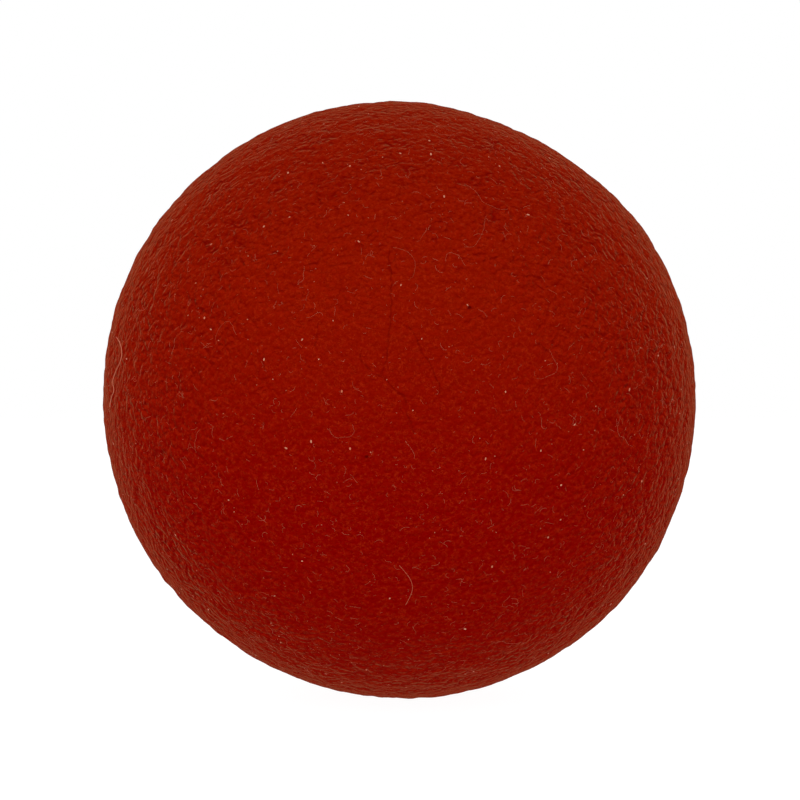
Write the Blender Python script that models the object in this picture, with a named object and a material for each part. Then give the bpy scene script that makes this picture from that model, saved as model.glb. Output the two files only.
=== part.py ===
"""Inflatable playground ball: a rubber cover over a thread winding and an air bladder, with a valve.

Metres, +Z up. The origin is the ball's centre and the valve points along +Y. Every piece is turned about
the valve's axis. Its profile is a list of (radius, height) points, with the height measured from the
ball's centre towards the valve.
"""

import math

import bmesh
import bpy

# The ball, from the outside in
BALL_DIAMETER = 0.127
COVER_WALL = 0.0016
WINDING_WALL = 0.0005
BLADDER_WALL = 0.0009
LAND_WIDTH = 0.0027  # the smooth flat ring of cover round the valve

# The valve's core, a plug with a head outside, a bead half way and a blind hole for the needle
HEAD_DIAMETER = 0.0080
HEAD_THICKNESS = 0.0012
HEAD_SINK = 0.0002  # how far the head lies below the land
BEAD_HEIGHT = 0.0007  # how far the bead stands out of the plug
BEAD_LENGTH = 0.0022
BEAD_DEPTH = 0.0048  # from the head's outer face to the bead's middle
NEEDLE_HOLE_DIAMETER = 0.0014
CORE_END_WALL = 0.0030  # the rubber below the needle hole, which parts only while a needle is in it

# The valve's housing and its patch
BORE_DIAMETER = 0.0050
RIM_WALL = 0.0007  # round the core's head
STEM_WALL = 0.0012  # round the groove that holds the core's bead
STEM_LENGTH = 0.0075  # from the flange's inner face to the stem's end
LIP_REACH = 0.0010  # how far the lip at the stem's end stands into the bore, which keeps the core in
LIP_LENGTH = 0.0010
FLANGE_DIAMETER = 0.026
FLANGE_WALL = 0.0012
PATCH_MARGIN = 0.0050  # how far the patch reaches past the flange
PATCH_WALL = 0.0006

# Clearances. Neighbours that touch on the real ball keep a small gap.
LAYER_GAP = 0.0003  # between two layers
FIT_GAP = 0.0003  # round the neck, and round the core's head, plug and bead
WINDING_MARGIN = 0.0010  # the threads are wound round the neck and stop this far short of it

# How finely the pieces are turned and shaded
TURN_STEPS = 40
RINGS = (*range(0, 18, 3), *range(18, 180, 9))  # degrees from the valve to each layer's rings of corners
SHARP_ANGLE = math.radians(30)  # a steeper edge is shaded sharp

# Radii of the layers' outer faces
BALL_RADIUS = BALL_DIAMETER / 2
WINDING_RADIUS = BALL_RADIUS - COVER_WALL - LAYER_GAP
BLADDER_RADIUS = WINDING_RADIUS - WINDING_WALL - LAYER_GAP
PATCH_RADIUS = BLADDER_RADIUS - BLADDER_WALL - LAYER_GAP
FLANGE_RADIUS = PATCH_RADIUS - PATCH_WALL - LAYER_GAP

# Radii about the valve's axis
HEAD = HEAD_DIAMETER / 2
MOUTH = HEAD + FIT_GAP
NECK = MOUTH + RIM_WALL
NECK_HOLE = NECK + FIT_GAP
LAND = NECK_HOLE + LAND_WIDTH
BORE = BORE_DIAMETER / 2
LIP = BORE - LIP_REACH
PLUG = BORE - FIT_GAP
BEAD = PLUG + BEAD_HEIGHT
GROOVE = BEAD + FIT_GAP
STEM = GROOVE + STEM_WALL
NEEDLE_HOLE = NEEDLE_HOLE_DIAMETER / 2
FLANGE = FLANGE_DIAMETER / 2
PATCH = FLANGE + PATCH_MARGIN

# Heights along the valve's axis
LAND_HEIGHT = math.sqrt(BALL_RADIUS**2 - LAND**2)
HEAD_TOP = LAND_HEIGHT - HEAD_SINK
HEAD_BOTTOM = HEAD_TOP - HEAD_THICKNESS
BEAD_TOP = HEAD_TOP - BEAD_DEPTH + BEAD_LENGTH / 2
BEAD_BOTTOM = BEAD_TOP - BEAD_LENGTH
STEM_END = FLANGE_RADIUS - FLANGE_WALL - STEM_LENGTH
LIP_TOP = STEM_END + LIP_LENGTH
CORE_END = LIP_TOP + FIT_GAP


def clear_scene():
    for thing in list(bpy.data.objects):
        bpy.data.objects.remove(thing, do_unlink=True)


def finish(name, colour, roughness):
    """A plain material. The colour is linear."""
    material = bpy.data.materials.new(name)
    material.use_nodes = True
    shader = material.node_tree.nodes["Principled BSDF"]
    shader.inputs["Base Color"].default_value = (*colour, 1)
    shader.inputs["Roughness"].default_value = roughness
    shader.inputs["Metallic"].default_value = 0
    return material


def arc(layer_radius, start, end=None):
    """Points on a layer's face between two radii about the valve's axis.

    With no end they go on to the pole opposite the valve. Between the ends they are at the angles in RINGS.
    """
    first = math.asin(start / layer_radius)
    last = math.asin(end / layer_radius) if end else math.pi
    angles = [first, *(ring for ring in map(math.radians, RINGS) if first < ring < last), last]
    points = [(layer_radius * math.sin(angle), layer_radius * math.cos(angle)) for angle in angles]
    if not end:
        points[-1] = (0, -layer_radius)
    return points


def turned(name, profile, material, axis, closed=False):
    """A piece turned from its profile, which is closed on itself or else starts and ends on the axis."""
    shape = bmesh.new()
    points = [shape.verts.new((radius, 0, height)) for radius, height in profile]
    pairs = list(zip(points, points[1:])) + ([(points[-1], points[0])] if closed else [])
    edges = [shape.edges.new(pair) for pair in pairs]
    whole = {"axis": (0, 0, 1), "angle": math.tau, "steps": TURN_STEPS, "use_merge": True}
    bmesh.ops.spin(shape, geom=points + edges, **whole)
    bmesh.ops.remove_doubles(shape, verts=shape.verts, dist=1e-6)
    bmesh.ops.recalc_face_normals(shape, faces=shape.faces)
    mesh = bpy.data.meshes.new(name)
    shape.to_mesh(mesh)
    shape.free()
    mesh.materials.append(material)
    mesh.shade_smooth()
    mesh.set_sharp_from_angle(angle=SHARP_ANGLE)
    piece = bpy.data.objects.new(name, mesh)
    piece.parent = axis
    bpy.context.scene.collection.objects.link(piece)


def make_cover(axis):
    """The cover's outside is round but for the flat land, whose hole lets the valve's neck through."""
    inside = arc(BALL_RADIUS - COVER_WALL, NECK_HOLE)[::-1]
    outside = arc(BALL_RADIUS, LAND)
    red_rubber = finish("Red rubber", (0.246, 0.0050, 0.0008), 0.75)
    turned("outer_cover", [*inside, (NECK_HOLE, LAND_HEIGHT), *outside], red_rubber, axis)


def make_layer(name, layer_radius, wall, hole, material, axis):
    """A round layer of even thickness, open round the valve's neck."""
    inside = arc(layer_radius - wall, hole)[::-1]
    turned(name, inside + arc(layer_radius, hole), material, axis)


def make_patch(axis):
    """A disc that follows the bladder's inner face and reaches past the housing's flange."""
    outside = arc(PATCH_RADIUS, NECK_HOLE, PATCH)
    inside = arc(PATCH_RADIUS - PATCH_WALL, NECK_HOLE, PATCH)[::-1]
    cord_rubber = finish("Cord-reinforced rubber", (0.035, 0.033, 0.030), 0.8)
    turned("valve_patch", outside + inside, cord_rubber, axis, closed=True)


def make_housing(axis, black_rubber):
    """The neck reaches out to the land, the flange lies under the patch and the stem hangs inside."""
    flange = arc(FLANGE_RADIUS, NECK, FLANGE) + arc(FLANGE_RADIUS - FLANGE_WALL, STEM, FLANGE)[::-1]
    lip = [(STEM, STEM_END), (LIP, STEM_END), (LIP, LIP_TOP), (BORE, LIP_TOP)]
    groove_bottom, groove_top = BEAD_BOTTOM - FIT_GAP, BEAD_TOP + FIT_GAP
    groove = [(BORE, groove_bottom), (GROOVE, groove_bottom), (GROOVE, groove_top), (BORE, groove_top)]
    mouth = [(BORE, HEAD_BOTTOM - FIT_GAP), (MOUTH, HEAD_BOTTOM - FIT_GAP), (MOUTH, LAND_HEIGHT)]
    profile = [(NECK, LAND_HEIGHT), *flange, *lip, *groove, *mouth]
    turned("valve_housing", profile, black_rubber, axis, closed=True)


def make_core(axis):
    """A plug whose head lies in the housing's mouth and whose bead, with sloped ends, lies in its groove."""
    hole_floor = CORE_END + CORE_END_WALL
    slope = BEAD_HEIGHT / 2
    hole = [(0, hole_floor), (NEEDLE_HOLE, hole_floor), (NEEDLE_HOLE, HEAD_TOP)]
    head = [(HEAD, HEAD_TOP), (HEAD, HEAD_BOTTOM), (PLUG, HEAD_BOTTOM)]
    bead = [(PLUG, BEAD_TOP), (BEAD, BEAD_TOP - slope), (BEAD, BEAD_BOTTOM + slope), (PLUG, BEAD_BOTTOM)]
    soft_rubber = finish("Soft natural rubber", (0.060, 0.055, 0.048), 0.6)
    profile = [*hole, *head, *bead, (PLUG, CORE_END), (0, CORE_END)]
    turned("valve_core", profile, soft_rubber, axis)


def main():
    clear_scene()
    axis = bpy.data.objects.new("valve_axis", None)  # its own Z is the valve's axis
    axis.rotation_euler = (-math.pi / 2, 0, 0)
    bpy.context.scene.collection.objects.link(axis)
    black_rubber = finish("Black rubber", (0.018, 0.018, 0.018), 0.6)
    nylon = finish("Nylon thread", (0.62, 0.60, 0.52), 0.7)
    make_cover(axis)
    make_layer("nylon_winding", WINDING_RADIUS, WINDING_WALL, NECK_HOLE + WINDING_MARGIN, nylon, axis)
    make_layer("bladder", BLADDER_RADIUS, BLADDER_WALL, NECK_HOLE, black_rubber, axis)
    make_patch(axis)
    make_housing(axis, black_rubber)
    make_core(axis)


main()
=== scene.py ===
# %% [markdown]
# # A playground rubber ball
#
# This lesson finishes a small inflatable ball. Its six parts are already designed and arrive as plain
# solids: the red cover, a layer of wound nylon thread, the air bladder, and the patch, housing and core
# of its valve. The origin is the ball's centre, +Z is up and the valve points along +Y, away from the
# camera. The solids hold every size, so the first step is to load them and to keep their box for a
# later comparison.

# %% Load the designed parts
import math

import bmesh
import bpy
from mathutils import Matrix, Vector
from mathutils.bvhtree import BVHTree


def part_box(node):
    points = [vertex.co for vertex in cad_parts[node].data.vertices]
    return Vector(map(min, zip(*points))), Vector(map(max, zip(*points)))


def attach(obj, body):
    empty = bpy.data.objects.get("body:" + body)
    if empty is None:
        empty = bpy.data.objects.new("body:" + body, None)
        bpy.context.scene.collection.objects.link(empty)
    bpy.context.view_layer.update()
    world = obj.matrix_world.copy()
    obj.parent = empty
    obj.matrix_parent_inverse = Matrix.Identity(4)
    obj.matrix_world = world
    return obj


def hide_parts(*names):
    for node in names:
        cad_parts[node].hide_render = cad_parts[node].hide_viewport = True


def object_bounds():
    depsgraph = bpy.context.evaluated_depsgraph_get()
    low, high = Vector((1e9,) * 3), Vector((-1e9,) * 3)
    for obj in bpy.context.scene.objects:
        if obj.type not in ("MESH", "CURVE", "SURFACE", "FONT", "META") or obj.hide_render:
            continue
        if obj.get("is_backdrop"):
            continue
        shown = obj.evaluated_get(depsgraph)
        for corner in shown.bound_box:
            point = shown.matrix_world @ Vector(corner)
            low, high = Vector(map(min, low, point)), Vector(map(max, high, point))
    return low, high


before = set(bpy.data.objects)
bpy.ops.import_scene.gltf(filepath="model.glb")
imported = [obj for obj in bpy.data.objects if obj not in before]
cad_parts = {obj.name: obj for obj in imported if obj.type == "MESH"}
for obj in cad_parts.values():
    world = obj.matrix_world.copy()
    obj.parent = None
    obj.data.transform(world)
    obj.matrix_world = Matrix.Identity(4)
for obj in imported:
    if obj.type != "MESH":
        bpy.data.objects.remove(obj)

MM = 0.001
designed_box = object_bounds()
print("parts:", ", ".join(sorted(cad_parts)))

# %% [markdown]
# The parts are turned about the valve's axis, so two numbers place any of their corners: its distance
# from that axis and its height along it. Reading the sizes from those corners, instead of writing them
# again, keeps this file true to the design when a size changes there.

# %% Read the sizes
def corners(node):
    """Each corner of a part as its distance from the valve's axis and its height along it."""
    return [(math.hypot(v.co.x, v.co.z), v.co.y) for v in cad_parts[node].data.vertices]


TOUCH = 0.001 * MM  # heights closer than this are one height
cover_corners = corners("outer_cover")
BALL_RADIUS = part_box("outer_cover")[1].x
COVER_INSIDE = min(math.hypot(radius, height) for radius, height in cover_corners)
LAND_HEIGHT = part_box("outer_cover")[1].y
LAND_RADIUS = max(radius for radius, height in cover_corners if height > LAND_HEIGHT - TOUCH)
NECK_HOLE = min(radius for radius, height in cover_corners if height > 0)
print(f"ball {2 * BALL_RADIUS / MM:.1f} mm, cover {(BALL_RADIUS - COVER_INSIDE) / MM:.2f} mm thick, "
      f"land {2 * LAND_RADIUS / MM:.1f} mm across with a {2 * NECK_HOLE / MM:.1f} mm hole")

# %% [markdown]
# ## Camera and studio
#
# The ball is seen level, from the side opposite its valve, and fills about three quarters of the
# picture. The lens is a portrait one, whose mild perspective shows almost half of the ball. The
# distance follows from the lens, because a ball's outline is the cone that just touches it.

# %% Camera
LENS = 85.0  # millimetres
SENSOR = 36.0
BALL_SHARE = 0.7430  # of the picture's width
CAMERA_RIGHT = 0.15 * MM  # the camera stands a hair right of the ball's centre and below it
CAMERA_DOWN = 0.09 * MM

half_cone = math.atan(BALL_SHARE * SENSOR / 2 / LENS)
camera = bpy.data.objects.new("camera", bpy.data.cameras.new("camera"))
camera.data.lens = LENS
camera.data.sensor_width = SENSOR
camera.data.clip_start = 0.01
camera.location = (CAMERA_RIGHT, -BALL_RADIUS / math.sin(half_cone), -CAMERA_DOWN)
camera.rotation_euler = (math.radians(90), 0, 0)
bpy.context.scene.collection.objects.link(camera)
bpy.context.scene.camera = camera
print(f"camera {-camera.location.y:.3f} m from the ball's centre")

# %% [markdown]
# The finish of a dull red ball is judged best in a white tent: light comes from everywhere, so that
# nothing but the rubber makes the shading. The world is that tent. The Standard view shows colours as
# they are, where a filmic view would grey so strong a red.

# %% A helper for node trees
def add(tree, kind, inputs=None, output=0, **settings):
    """Adds a node with settings, and inputs as values or links, and returns one of its outputs."""
    node = tree.nodes.new(kind)
    for name, value in settings.items():
        setattr(node, name, value)
    for key, value in (inputs or {}).items():
        if isinstance(value, bpy.types.NodeSocket):
            tree.links.new(value, node.inputs[key])
        else:
            node.inputs[key].default_value = value
    return node.outputs[output] if node.outputs else node


def linear(hex_colour):
    """An sRGB colour such as "#8c1a00" as the linear numbers that Blender works in."""
    shares = [int(hex_colour[i:i + 2], 16) / 255 for i in (1, 3, 5)]
    return (*(s / 12.92 if s <= 0.04045 else ((s + 0.055) / 1.055) ** 2.4 for s in shares), 1.0)


# %% White tent
TENT_LIGHT = 1.0

tent = bpy.data.worlds.new("white tent")
tent.use_nodes = True
tent.node_tree.nodes["Background"].inputs["Color"].default_value = linear("#ffffff")
tent.node_tree.nodes["Background"].inputs["Strength"].default_value = TENT_LIGHT
bpy.context.scene.world = tent
bpy.context.scene.view_settings.view_transform = "Standard"

# %% [markdown]
# One large soft box hangs over the ball, a little in front of it. It is what makes the upper half a
# shade lighter than the lower one and lets the grain throw its faint shading.

# %% Soft box
SOFT_BOX_SIDE = 0.9
SOFT_BOX_POWER = 3.2
SOFT_BOX_PLACE = Vector((-0.15, -0.85, 0.55))

soft_box = bpy.data.objects.new("soft_box", bpy.data.lights.new("soft_box", "AREA"))
soft_box.data.size = SOFT_BOX_SIDE
soft_box.data.energy = SOFT_BOX_POWER
soft_box.location = SOFT_BOX_PLACE
soft_box.rotation_euler = (-SOFT_BOX_PLACE).to_track_quat("-Z", "Y").to_euler()
bpy.context.scene.collection.objects.link(soft_box)

# %% [markdown]
# The ball stands on an opal light panel, the white table that product photographers use. Most of the
# panel's brightness comes from below, so the ball's own shadow hardly shows on it. Opal acrylic is matt
# and even, and gives the eye nothing but white.

# %% Floor
FLOOR_REACH = 6.0
PANEL_GLOW = 0.97
FLOOR_DROP = 0.5 * MM  # the finished ball bulges this far below its designed round


def new_material(name):
    """An empty material with its shader, and the shader's tree to build in."""
    material = bpy.data.materials.new(name)
    material.use_nodes = True
    return material, material.node_tree, material.node_tree.nodes["Principled BSDF"]


panel_finish, _, panel_shader = new_material("opal acrylic, lit from below")
panel_shader.inputs["Base Color"].default_value = linear("#606060")
panel_shader.inputs["Roughness"].default_value = 0.9
panel_shader.inputs["Specular IOR Level"].default_value = 0.0
panel_shader.inputs["Emission Color"].default_value = linear("#ffffff")
panel_shader.inputs["Emission Strength"].default_value = PANEL_GLOW

shape = bmesh.new()
bmesh.ops.create_grid(shape, size=FLOOR_REACH, matrix=Matrix.Translation((0, 0, -BALL_RADIUS - FLOOR_DROP)))
floor_mesh = bpy.data.meshes.new("floor")
shape.to_mesh(floor_mesh)
shape.free()
floor_mesh.materials.append(panel_finish)
floor = bpy.data.objects.new("floor", floor_mesh)
bpy.context.scene.collection.objects.link(floor)
floor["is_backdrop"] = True

# %% [markdown]
# ## The grain
#
# The cover came out of a mould that was etched with a leather grain: low pebbles about 2 mm apart,
# parted by folds. Voronoi cells are the usual stand-in for pebbles. Two noises bend them, because real
# grain has no straight folds, and the folds' depth varies from place to place. Slow lumps, a few
# millimetres apart, lie under the pebbles. The ball is worn smoother where it has been handled most,
# which is the side that faces the camera, a little below its middle.
#
# The lumps are wide enough for the mesh to carry, so they are real shape, and show in the outline. The
# pebbles are as small as the mesh's own triangles, so the material's bump makes them. Both start from
# the direction out of the ball's centre, so the same few helpers serve a geometry tree and a material.

# %% Helpers for the grain
SMOOTH_MARGIN = 2.5 * MM  # the grain fades in over this distance outside the valve's land
WORN_SIDE = (0, -1, -0.25)  # the direction of the worn side's middle
WORN_DEPTH = 0.34  # what wear has left of the grain in the middle of the worn side
WORN_REACH = (14, 52)  # degrees from the middle, between which the wear fades out


def facing(tree, outward, direction, near, far, at_middle, outside):
    """A number that is at_middle within near degrees of a direction and outside beyond far degrees."""
    cosine = add(tree, "ShaderNodeVectorMath", {0: outward, 1: Vector(direction).normalized()}, "Value",
                 operation="DOT_PRODUCT")
    return add(tree, "ShaderNodeMapRange",
               {0: cosine, 1: math.cos(math.radians(far)), 2: math.cos(math.radians(near)),
                3: outside, 4: at_middle}, interpolation_type="SMOOTHSTEP")


def grain_strength(tree, outward):
    """1 where the grain is whole, less where it is worn, and 0 on the valve's smooth land."""
    worn = facing(tree, outward, WORN_SIDE, *WORN_REACH, WORN_DEPTH, 1.0)
    land_angle = math.degrees(math.asin(LAND_RADIUS / BALL_RADIUS))
    fade_angle = math.degrees(math.asin((LAND_RADIUS + SMOOTH_MARGIN) / BALL_RADIUS))
    grown_in = facing(tree, outward, (0, 1, 0), land_angle, fade_angle, 0.0, 1.0)
    return add(tree, "ShaderNodeMath", {0: worn, 1: grown_in}, operation="MULTIPLY")


# %% [markdown]
# A rubber ball is never quite round: winding, pressure and shelf life leave it a little swollen in some
# places and flat in others. Each of these is a direction, how far round it reaches, and how far the
# surface moves there.

# %% Out of round
SWELLINGS = (  # direction, reach in degrees, height in millimetres
    ((0.50, 0.0, -0.87), 50, 0.42),
    ((0.99, 0.0, -0.12), 28, -0.22),
    ((-0.62, 0.0, 0.78), 50, 0.45),
    ((0.48, 0.0, 0.88), 27, -0.80),
    ((0.27, 0.0, 0.96), 12, -0.25),
    ((-0.90, 0.0, -0.44), 55, -0.35),
    ((-0.50, 0.0, -0.87), 20, -0.15),
)
LUMP_PITCH = 4.2  # millimetres
LUMP_HEIGHT = 0.25


def out_of_round(tree, outward):
    """How far the ball's surface lies outside a true sphere, in millimetres."""
    total = 0.0
    for direction, reach, height in SWELLINGS:
        here = facing(tree, outward, direction, 0, reach, height, 0.0)
        total = add(tree, "ShaderNodeMath", {0: here, 1: total}, operation="ADD")
    return total


# %% [markdown]
# ## The cover's outer face
#
# The cover could be a sphere with a bump in its material, but then its outline would be a perfect
# circle. So the swellings and lumps are real geometry. A cube whose faces are divided evenly and blown
# up to a sphere has neither poles nor a seam, and its triangles are nearly equal everywhere. The
# tangent spreads the rows evenly first.

# %% Geometry tree of the outer face
def new_tree(name, numbers):
    """A geometry tree with a geometry output, an input for each named number, and its group input node."""
    tree = bpy.data.node_groups.new(name, "GeometryNodeTree")
    tree.interface.new_socket(name="Geometry", in_out="OUTPUT", socket_type="NodeSocketGeometry")
    for label, value in numbers.items():
        kind = "NodeSocketInt" if isinstance(value, int) else "NodeSocketFloat"
        tree.interface.new_socket(name=label, in_out="INPUT", socket_type=kind).default_value = value
    return tree, tree.nodes.new("NodeGroupInput")


def grown(name, tree, inputs):
    """Runs a geometry tree and keeps its result as a plain mesh in a new object."""
    piece = bpy.data.objects.new(name, bpy.data.meshes.new(name))
    bpy.context.scene.collection.objects.link(piece)
    modifier = piece.modifiers.new(name, "NODES")
    modifier.node_group = tree
    for socket in tree.interface.items_tree:
        if socket.name in inputs:
            modifier[socket.identifier] = inputs[socket.name]
    seen = piece.evaluated_get(bpy.context.evaluated_depsgraph_get())
    mesh = bpy.data.meshes.new_from_object(seen)
    piece.modifiers.remove(modifier)
    piece.data = mesh
    mesh.name = name
    triangles = sum(len(p.vertices) - 2 for p in mesh.polygons)
    print(f"{name}: {len(mesh.vertices)} points, {triangles} triangles")
    return piece


FACE_ROWS = 124

rubber, rubber_tree, rubber_shader = new_material("vulcanised red rubber, leather grain")
outer_tree, outer_in = new_tree("cover's outer face", {
    "Ball radius": BALL_RADIUS, "Rows": FACE_ROWS, "Lump pitch": LUMP_PITCH, "Lump height": LUMP_HEIGHT})
outer_tree.interface.new_socket(name="Finish", in_out="INPUT", socket_type="NodeSocketMaterial")
get = outer_in.outputs
cube = add(outer_tree, "GeometryNodeMeshCube",
           {"Size": (2.0, 2.0, 2.0), **{f"Vertices {axis}": get["Rows"] for axis in "XYZ"}})
on_cube = add(outer_tree, "GeometryNodeInputPosition")
spread = add(outer_tree, "ShaderNodeVectorMath", {0: on_cube, "Scale": math.pi / 4}, operation="SCALE")
spread = add(outer_tree, "ShaderNodeVectorMath", {0: spread}, operation="TANGENT")
outward = add(outer_tree, "ShaderNodeVectorMath", {0: spread}, operation="NORMALIZE")
place = add(outer_tree, "ShaderNodeVectorMath", {0: outward, "Scale": BALL_RADIUS / MM}, operation="SCALE")
often = add(outer_tree, "ShaderNodeMath", {0: 1.0, 1: get["Lump pitch"]}, operation="DIVIDE")
lump = add(outer_tree, "ShaderNodeTexNoise", {"Vector": place, "Scale": often, "Detail": 1.0})
lump = add(outer_tree, "ShaderNodeMapRange", {0: lump, 1: 0.0, 2: 1.0, 3: -2.0, 4: 2.0})  # about -1 to 1
lump = add(outer_tree, "ShaderNodeMath", {0: lump, 1: get["Lump height"]}, operation="MULTIPLY")
strength = grain_strength(outer_tree, outward)
lump = add(outer_tree, "ShaderNodeMath", {0: lump, 1: strength}, operation="MULTIPLY")
height = add(outer_tree, "ShaderNodeMath", {0: out_of_round(outer_tree, outward), 1: lump}, operation="ADD")
radius = add(outer_tree, "ShaderNodeMath", {0: height, 1: MM, 2: get["Ball radius"]},
             operation="MULTIPLY_ADD")
on_ball = add(outer_tree, "ShaderNodeVectorMath", {0: outward, "Scale": radius}, operation="SCALE")
moved = add(outer_tree, "GeometryNodeSetPosition", {"Geometry": cube, "Position": on_ball})
moved = add(outer_tree, "GeometryNodeRealizeInstances", {0: moved})
moved = add(outer_tree, "GeometryNodeSetMaterial", {"Geometry": moved, "Material": get["Finish"]})
add(outer_tree, "NodeGroupOutput", {"Geometry": moved})
cover = grown("ball_cover", outer_tree, {"Ball radius": BALL_RADIUS, "Rows": FACE_ROWS, "Finish": rubber})

# %% [markdown]
# ## The cover's wall and its hole
#
# The outer face is a closed solid so far. One turned cutter takes out the hollow, the hole for the
# valve's neck and the flat land round it. Its profile follows the design, with a small round at the
# mouth of the hole, where a mould always leaves one. The Boolean's MANIFOLD solver copes with so many
# triangles in a moment.

# %% Cut the hollow and the land
CUT_STEPS = 96
SHARP_ANGLE = 50  # degrees; an edge that turns more than this is shaded as an edge
MOUTH_ROUND = 0.25 * MM  # the moulded round at the mouth of the hole
LAND_CLEAR = 2.0 * MM  # how far the flat cut reaches past the land
ABOVE = 2.0 * MM  # how far the cutter stands above the land, well clear of the cover


def turned(name, profile, steps):
    """A closed piece turned about the valve's axis, from (distance, height) points that end on it."""
    shape = bmesh.new()
    points = [shape.verts.new((radius, height, 0)) for radius, height in profile]
    edges = [shape.edges.new(pair) for pair in zip(points, points[1:])]
    bmesh.ops.spin(shape, geom=points + edges, axis=(0, 1, 0), angle=math.tau, steps=steps, use_merge=True)
    bmesh.ops.remove_doubles(shape, verts=shape.verts, dist=1e-7)
    bmesh.ops.recalc_face_normals(shape, faces=shape.faces)
    mesh = bpy.data.meshes.new(name)
    shape.to_mesh(mesh)
    shape.free()
    piece = bpy.data.objects.new(name, mesh)
    bpy.context.scene.collection.objects.link(piece)
    return piece


def arc(centre, radius, start, end, steps):
    """Points on a circle, with angles in degrees from the outward direction towards the valve's."""
    angles = [math.radians(start + (end - start) * i / steps) for i in range(steps + 1)]
    return [(centre[0] + radius * math.cos(a), centre[1] + radius * math.sin(a)) for a in angles]


neck_angle = math.degrees(math.acos(NECK_HOLE / COVER_INSIDE))
hollow = arc((0, 0), COVER_INSIDE, -90, neck_angle, CUT_STEPS // 2)
hollow[0] = (0, -COVER_INSIDE)
mouth = arc((NECK_HOLE + MOUTH_ROUND, LAND_HEIGHT - MOUTH_ROUND), MOUTH_ROUND, 180, 90, 3)
flat = [(LAND_RADIUS + LAND_CLEAR, LAND_HEIGHT), (LAND_RADIUS + LAND_CLEAR, LAND_HEIGHT + ABOVE),
        (0, LAND_HEIGHT + ABOVE)]
cutter = turned("cover_cutter", hollow + mouth + flat, CUT_STEPS)
cut = cover.modifiers.new("hollow", "BOOLEAN")
cut.operation = "DIFFERENCE"
cut.solver = "MANIFOLD"
cut.object = cutter
seen = cover.evaluated_get(bpy.context.evaluated_depsgraph_get())
cover_mesh = bpy.data.meshes.new_from_object(seen)
cover.modifiers.remove(cut)
cover.data = cover_mesh
bpy.data.objects.remove(cutter)
cover_mesh.shade_smooth()
cover_mesh.set_sharp_from_angle(angle=math.radians(SHARP_ANGLE))
print(f"cover: {sum(len(p.vertices) - 2 for p in cover_mesh.polygons)} triangles")

# %% [markdown]
# ## Creases
#
# Where the cover has been squeezed the rubber has creased, in hairlines that fork. The ones on the worn
# side are drawn as short straight runs across it. A point's distance to a run is its distance to the
# nearest point of the line between the two ends, and the nearest run of all is the one that shows. A
# slow noise bends the runs.

# %% Where the creases run
CREASES = (  # each crease's points as (right, up) on the side that faces the camera, in millimetres
    ((-1.8, 28.0), (-1.4, 19.0), (-1.8, 13.0), (-2.4, 7.0), (-3.3, 4.3), (0.9, 0.3), (2.8, -6.3)),
    ((-3.3, 4.3), (-6.0, 5.6), (-7.2, 8.2)),
    ((2.0, 13.3), (4.2, 8.9), (7.2, 3.0), (7.5, -2.0)),
    ((-25.3, 8.3), (-24.6, 3.0)),
    ((-15.1, 13.8), (-15.4, 10.0)),
    ((25.7, 10.5), (31.1, 6.9)),
)
CREASE_WIDTH = 0.28
CREASE_BEND = (2.5, 0.6)  # pitch and reach
PITS = ((13, 17), (-6, -10.5), (44.5, 32.5))  # small dark holes in the rubber, placed the same way
PIT_REACH = 0.5
PIT_BOTTOM = 0.1
PIT_BEND = (0.7, 0.2)


def on_front(right, up):
    """The point of the side that faces the camera, this far right and up, in millimetres."""
    return Vector((right, -math.sqrt((BALL_RADIUS / MM) ** 2 - right ** 2 - up ** 2), up))


def crease_distance(tree, place):
    """How far a place is from the nearest crease, in millimetres."""
    nearest = 1000.0
    for crease in CREASES:
        ends = [on_front(*point) for point in crease]
        for start, end in zip(ends, ends[1:]):
            run = end - start
            from_start = add(tree, "ShaderNodeVectorMath", {0: place, 1: start}, operation="SUBTRACT")
            along = add(tree, "ShaderNodeVectorMath", {0: from_start, 1: run / run.length_squared}, "Value",
                        operation="DOT_PRODUCT")
            along = add(tree, "ShaderNodeClamp", {0: along})
            foot = add(tree, "ShaderNodeVectorMath", {0: run, "Scale": along}, operation="SCALE")
            apart = add(tree, "ShaderNodeVectorMath", {0: from_start, 1: foot}, "Value",
                        operation="DISTANCE")
            nearest = add(tree, "ShaderNodeMath", {0: apart, 1: nearest}, operation="MINIMUM")
    return nearest


def pit_distance(tree, place):
    """How far a place is from the nearest pit, in millimetres."""
    nearest = 1000.0
    for pit in PITS:
        apart = add(tree, "ShaderNodeVectorMath", {0: place, 1: on_front(*pit)}, "Value",
                    operation="DISTANCE")
        nearest = add(tree, "ShaderNodeMath", {0: apart, 1: nearest}, operation="MINIMUM")
    return nearest


# %% [markdown]
# ## Red rubber
#
# The cover is vulcanised natural rubber with a red pigment. It is dull, so its light is nearly all
# diffuse, and years of handling leave a trace of pale dust that shows where the surface turns away: a
# little sheen gives that. The grain comes first, as a height in millimetres that adds up pebbles, fine
# wrinkles, hair-fine threads and grit.

# %% The grain of the cover
PEBBLE_PITCH = 2.3  # millimetres, as the other sizes here are, unless a comment says otherwise
PEBBLE_DEPTH = 0.34
FLANK = 0.38  # of the pitch, from a fold to where its pebble's top begins
CORNER = 0.8  # of the pitch, from a wrinkle's middle to where three wrinkles meet
BENDS = ((6.0, 1.2), (1.3, 0.45))  # each bend's pitch, and how far it moves a fold to either side
UNEVEN_PITCH = 7.0  # the grain is deeper in some places than in others, this far apart
BROKEN_PITCH = 2.2  # and a fold comes and goes along its length
BROKEN_RANGE = (0.36, 0.60)  # of the noise, from where a fold is faintest to where it is whole
FAINTEST_FOLD = 0.25
WRINKLE_PITCH = 0.90
WRINKLE_BEND = (0.7, 0.25)  # pitch and reach
WRINKLE_WORN = 0.2  # what the worst wear would leave of the wrinkles
WRINKLE_DEPTH = 0.12
THREAD_PITCH = 0.60  # any finer and they would not show
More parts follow.
